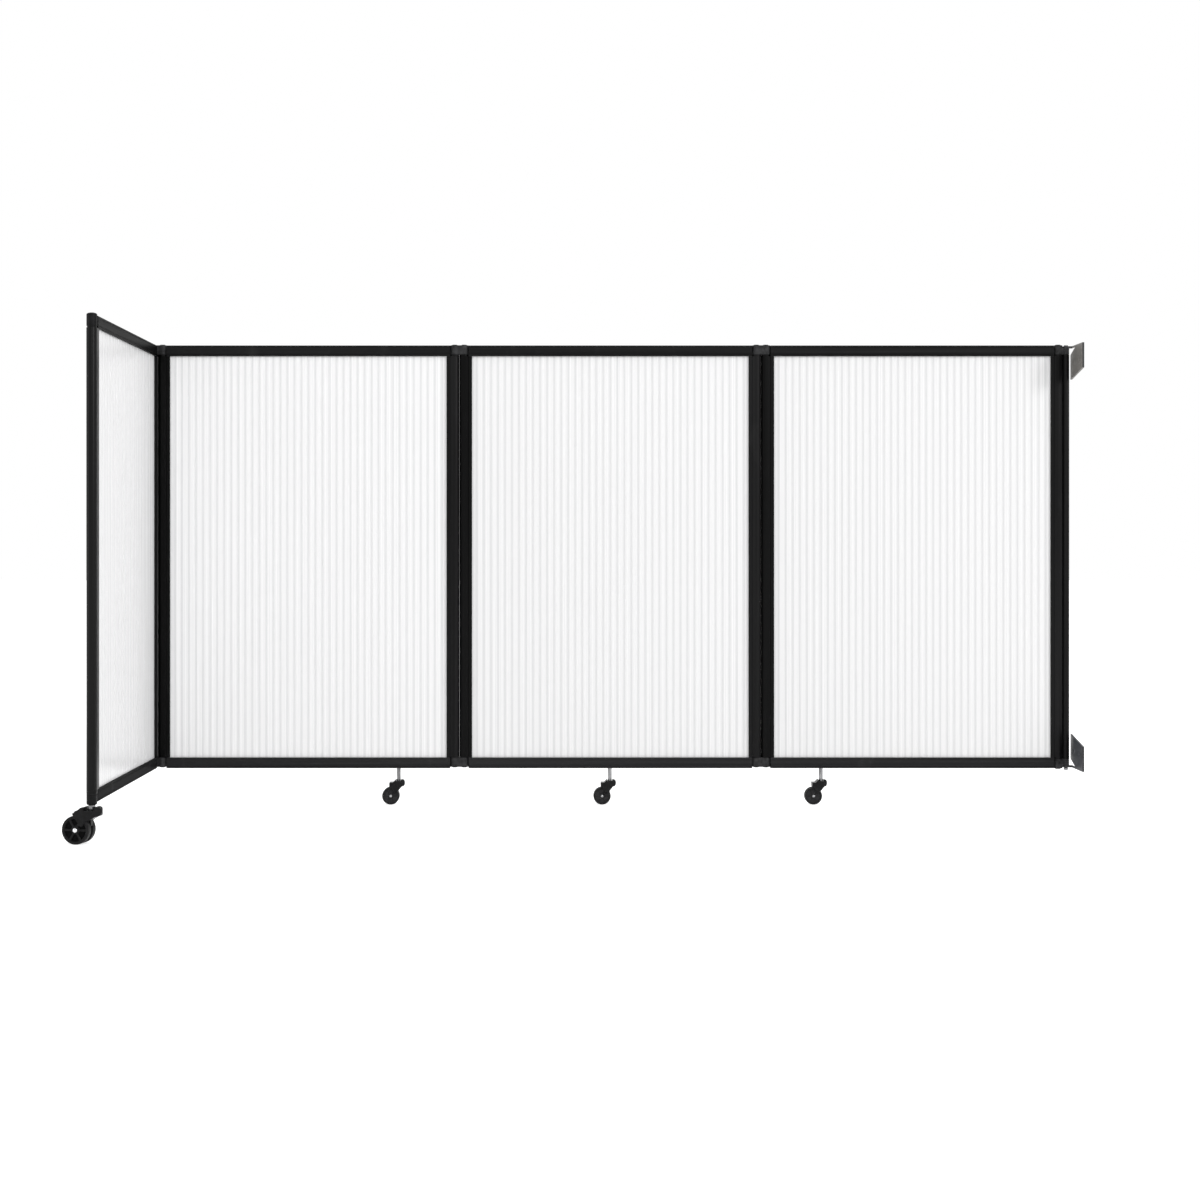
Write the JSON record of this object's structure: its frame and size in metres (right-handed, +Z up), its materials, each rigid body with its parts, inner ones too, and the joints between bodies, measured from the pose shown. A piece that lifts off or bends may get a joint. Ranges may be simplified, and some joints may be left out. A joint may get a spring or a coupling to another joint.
{
  "type": "folding partition",
  "caption": "Wall-fixed folding partition: framed fluted translucent panels joined by double-pivot hinges, rolling on stemmed casters, free panel turned square",
  "frame": {"origin": "centre of the bounding box's footprint, on the floor", "axes": "X along the three aligned panels toward the wall, -Y toward the side the free panel points to, Z up"},
  "size_m": [2.0319, 0.66, 0.99],
  "materials": {
    "frame": "satin black anodised extrusion",
    "sheet": "clear fluted twin-wall polycarbonate",
    "hinge_block": "moulded black nylon",
    "bracket": "dark grey powder coat",
    "wheel": "moulded black polymer, slightly worn tread",
    "hood": "moulded black nylon, satin",
    "bright_steel": "zinc-plated turned steel"
  },
  "bodies": {
    "wall_end": {"wall_post": "frame", "wall_bracket_upper": "bracket", "wall_bracket_lower": "bracket", "post_screw_upper": "bright_steel", "post_screw_lower": "bright_steel"},
    "link_wall": {"link_wall_upper": "hinge_block", "link_wall_lower": "hinge_block"},
    "link_34": {"link_34_upper": "hinge_block", "link_34_lower": "hinge_block"},
    "link_23": {"link_23_upper": "hinge_block", "link_23_lower": "hinge_block"},
    "link_12": {"link_12_upper": "hinge_block", "link_12_lower": "hinge_block"},
    "panel_4": {"panel_4_left_stile": "frame", "panel_4_right_stile": "frame", "panel_4_bottom_rail": "frame", "panel_4_top_rail": "frame", "panel_4_fluted_sheet": "sheet", "caster_4_stem": "bright_steel", "caster_4_insert": "bright_steel"},
    "panel_3": {"panel_3_left_stile": "frame", "panel_3_right_stile": "frame", "panel_3_bottom_rail": "frame", "panel_3_top_rail": "frame", "panel_3_fluted_sheet": "sheet", "caster_3_stem": "bright_steel", "caster_3_insert": "bright_steel"},
    "panel_2": {"panel_2_left_stile": "frame", "panel_2_right_stile": "frame", "panel_2_bottom_rail": "frame", "panel_2_top_rail": "frame", "panel_2_fluted_sheet": "sheet", "caster_2_stem": "bright_steel", "caster_2_insert": "bright_steel"},
    "panel_1": {"panel_1_left_stile": "frame", "panel_1_right_stile": "frame", "panel_1_bottom_rail": "frame", "panel_1_top_rail": "frame", "panel_1_fluted_sheet": "sheet", "caster_1_stem": "bright_steel", "free_end_cap_upper": "hinge_block", "free_end_cap_lower": "hinge_block"},
    "caster_1_swivel": {"caster_1_hood": "hood", "caster_1_axle": "bright_steel"},
    "caster_1_wheel_left": {"caster_1_wheel_left": "wheel"},
    "caster_1_wheel_right": {"caster_1_wheel_right": "wheel"},
    "caster_2_swivel": {"caster_2_hood": "hood", "caster_2_axle": "bright_steel"},
    "caster_2_wheel_left": {"caster_2_wheel_left": "wheel"},
    "caster_2_wheel_right": {"caster_2_wheel_right": "wheel"},
    "caster_3_swivel": {"caster_3_hood": "hood", "caster_3_axle": "bright_steel"},
    "caster_3_wheel_left": {"caster_3_wheel_left": "wheel"},
    "caster_3_wheel_right": {"caster_3_wheel_right": "wheel"},
    "caster_4_swivel": {"caster_4_hood": "hood", "caster_4_axle": "bright_steel"},
    "caster_4_wheel_left": {"caster_4_wheel_left": "wheel"},
    "caster_4_wheel_right": {"caster_4_wheel_right": "wheel"},
    "caster_1_brake_pedal": {"caster_1_brake_pedal": "hood"}
  },
  "joints": [
    {"name": "wall_pivot", "type": "hinge", "parent": "wall_end", "child": "link_wall", "pos_m": [1.00083, 0.3195, 0.5315], "axis": [0, 0, 1], "range_deg": [-90, 90]},
    {"name": "panel_4_pivot", "type": "hinge", "parent": "link_wall", "child": "panel_4", "pos_m": [0.98343, 0.3195, 0.5315], "axis": [0, 0, -1], "range_deg": [-90, 90]},
    {"name": "link_34_pivot", "type": "hinge", "parent": "panel_4", "child": "link_34", "pos_m": [0.35583, 0.3195, 0.5315], "axis": [0, 0, 1], "range_deg": [-90, 90]},
    {"name": "panel_3_pivot", "type": "hinge", "parent": "link_34", "child": "panel_3", "pos_m": [0.33543, 0.3195, 0.5315], "axis": [0, 0, 1], "range_deg": [-90, 90]},
    {"name": "link_23_pivot", "type": "hinge", "parent": "panel_3", "child": "link_23", "pos_m": [-0.29217, 0.3195, 0.5315], "axis": [0, 0, -1], "range_deg": [-90, 90]},
    {"name": "panel_2_pivot", "type": "hinge", "parent": "link_23", "child": "panel_2", "pos_m": [-0.31257, 0.3195, 0.5315], "axis": [0, 0, -1], "range_deg": [-90, 90]},
    {"name": "link_12_pivot", "type": "hinge", "parent": "panel_2", "child": "link_12", "pos_m": [-0.94017, 0.3195, 0.5315], "axis": [0, 0, 1], "range_deg": [-90, 90]},
    {"name": "panel_1_pivot", "type": "hinge", "parent": "link_12", "child": "panel_1", "pos_m": [-0.96057, 0.3195, 0.5315], "axis": [0, 0, 1], "range_deg": [-180, 0]},
    {"name": "caster_1_turn", "type": "hinge", "parent": "panel_1", "child": "caster_1_swivel", "pos_m": [-0.96057, -0.3081, 0.05], "axis": [0, 0, 1], "continuous": true},
    {"name": "caster_1_roll_left", "type": "hinge", "parent": "caster_1_swivel", "child": "caster_1_wheel_left", "pos_m": [-0.986, -0.30269, 0.027], "axis": [0.2079, 0.9781, 0], "continuous": true},
    {"name": "caster_1_roll_right", "type": "hinge", "parent": "caster_1_swivel", "child": "caster_1_wheel_right", "pos_m": [-0.986, -0.30269, 0.027], "axis": [0.2079, 0.9781, 0], "continuous": true},
    {"name": "caster_2_turn", "type": "hinge", "parent": "panel_2", "child": "caster_2_swivel", "pos_m": [-0.43288, 0.3195, 0.05], "axis": [0, 0, 1], "continuous": true},
    {"name": "caster_2_roll_left", "type": "hinge", "parent": "caster_2_swivel", "child": "caster_2_wheel_left", "pos_m": [-0.44958, 0.3195, 0.0185], "axis": [0, 1, 0], "continuous": true},
    {"name": "caster_2_roll_right", "type": "hinge", "parent": "caster_2_swivel", "child": "caster_2_wheel_right", "pos_m": [-0.44958, 0.3195, 0.0185], "axis": [0, 1, 0], "continuous": true},
    {"name": "caster_3_turn", "type": "hinge", "parent": "panel_3", "child": "caster_3_swivel", "pos_m": [0.02063, 0.3195, 0.05], "axis": [0, 0, 1], "continuous": true},
    {"name": "caster_3_roll_left", "type": "hinge", "parent": "caster_3_swivel", "child": "caster_3_wheel_left", "pos_m": [0.00393, 0.3195, 0.0185], "axis": [0, 1, 0], "continuous": true},
    {"name": "caster_3_roll_right", "type": "hinge", "parent": "caster_3_swivel", "child": "caster_3_wheel_right", "pos_m": [0.00393, 0.3195, 0.0185], "axis": [0, 1, 0], "continuous": true},
    {"name": "caster_4_turn", "type": "hinge", "parent": "panel_4", "child": "caster_4_swivel", "pos_m": [0.47414, 0.3195, 0.05], "axis": [0, 0, 1], "continuous": true},
    {"name": "caster_4_roll_left", "type": "hinge", "parent": "caster_4_swivel", "child": "caster_4_wheel_left", "pos_m": [0.45744, 0.3195, 0.0185], "axis": [0, 1, 0], "continuous": true},
    {"name": "caster_4_roll_right", "type": "hinge", "parent": "caster_4_swivel", "child": "caster_4_wheel_right", "pos_m": [0.45744, 0.3195, 0.0185], "axis": [0, 1, 0], "continuous": true},
    {"name": "brake_pedal_lift", "type": "hinge", "parent": "caster_1_swivel", "child": "caster_1_brake_pedal", "pos_m": [-0.97817, -0.30435, 0.0634], "axis": [0.2079, 0.9781, 0], "range_deg": [0, 22]}
  ]
}
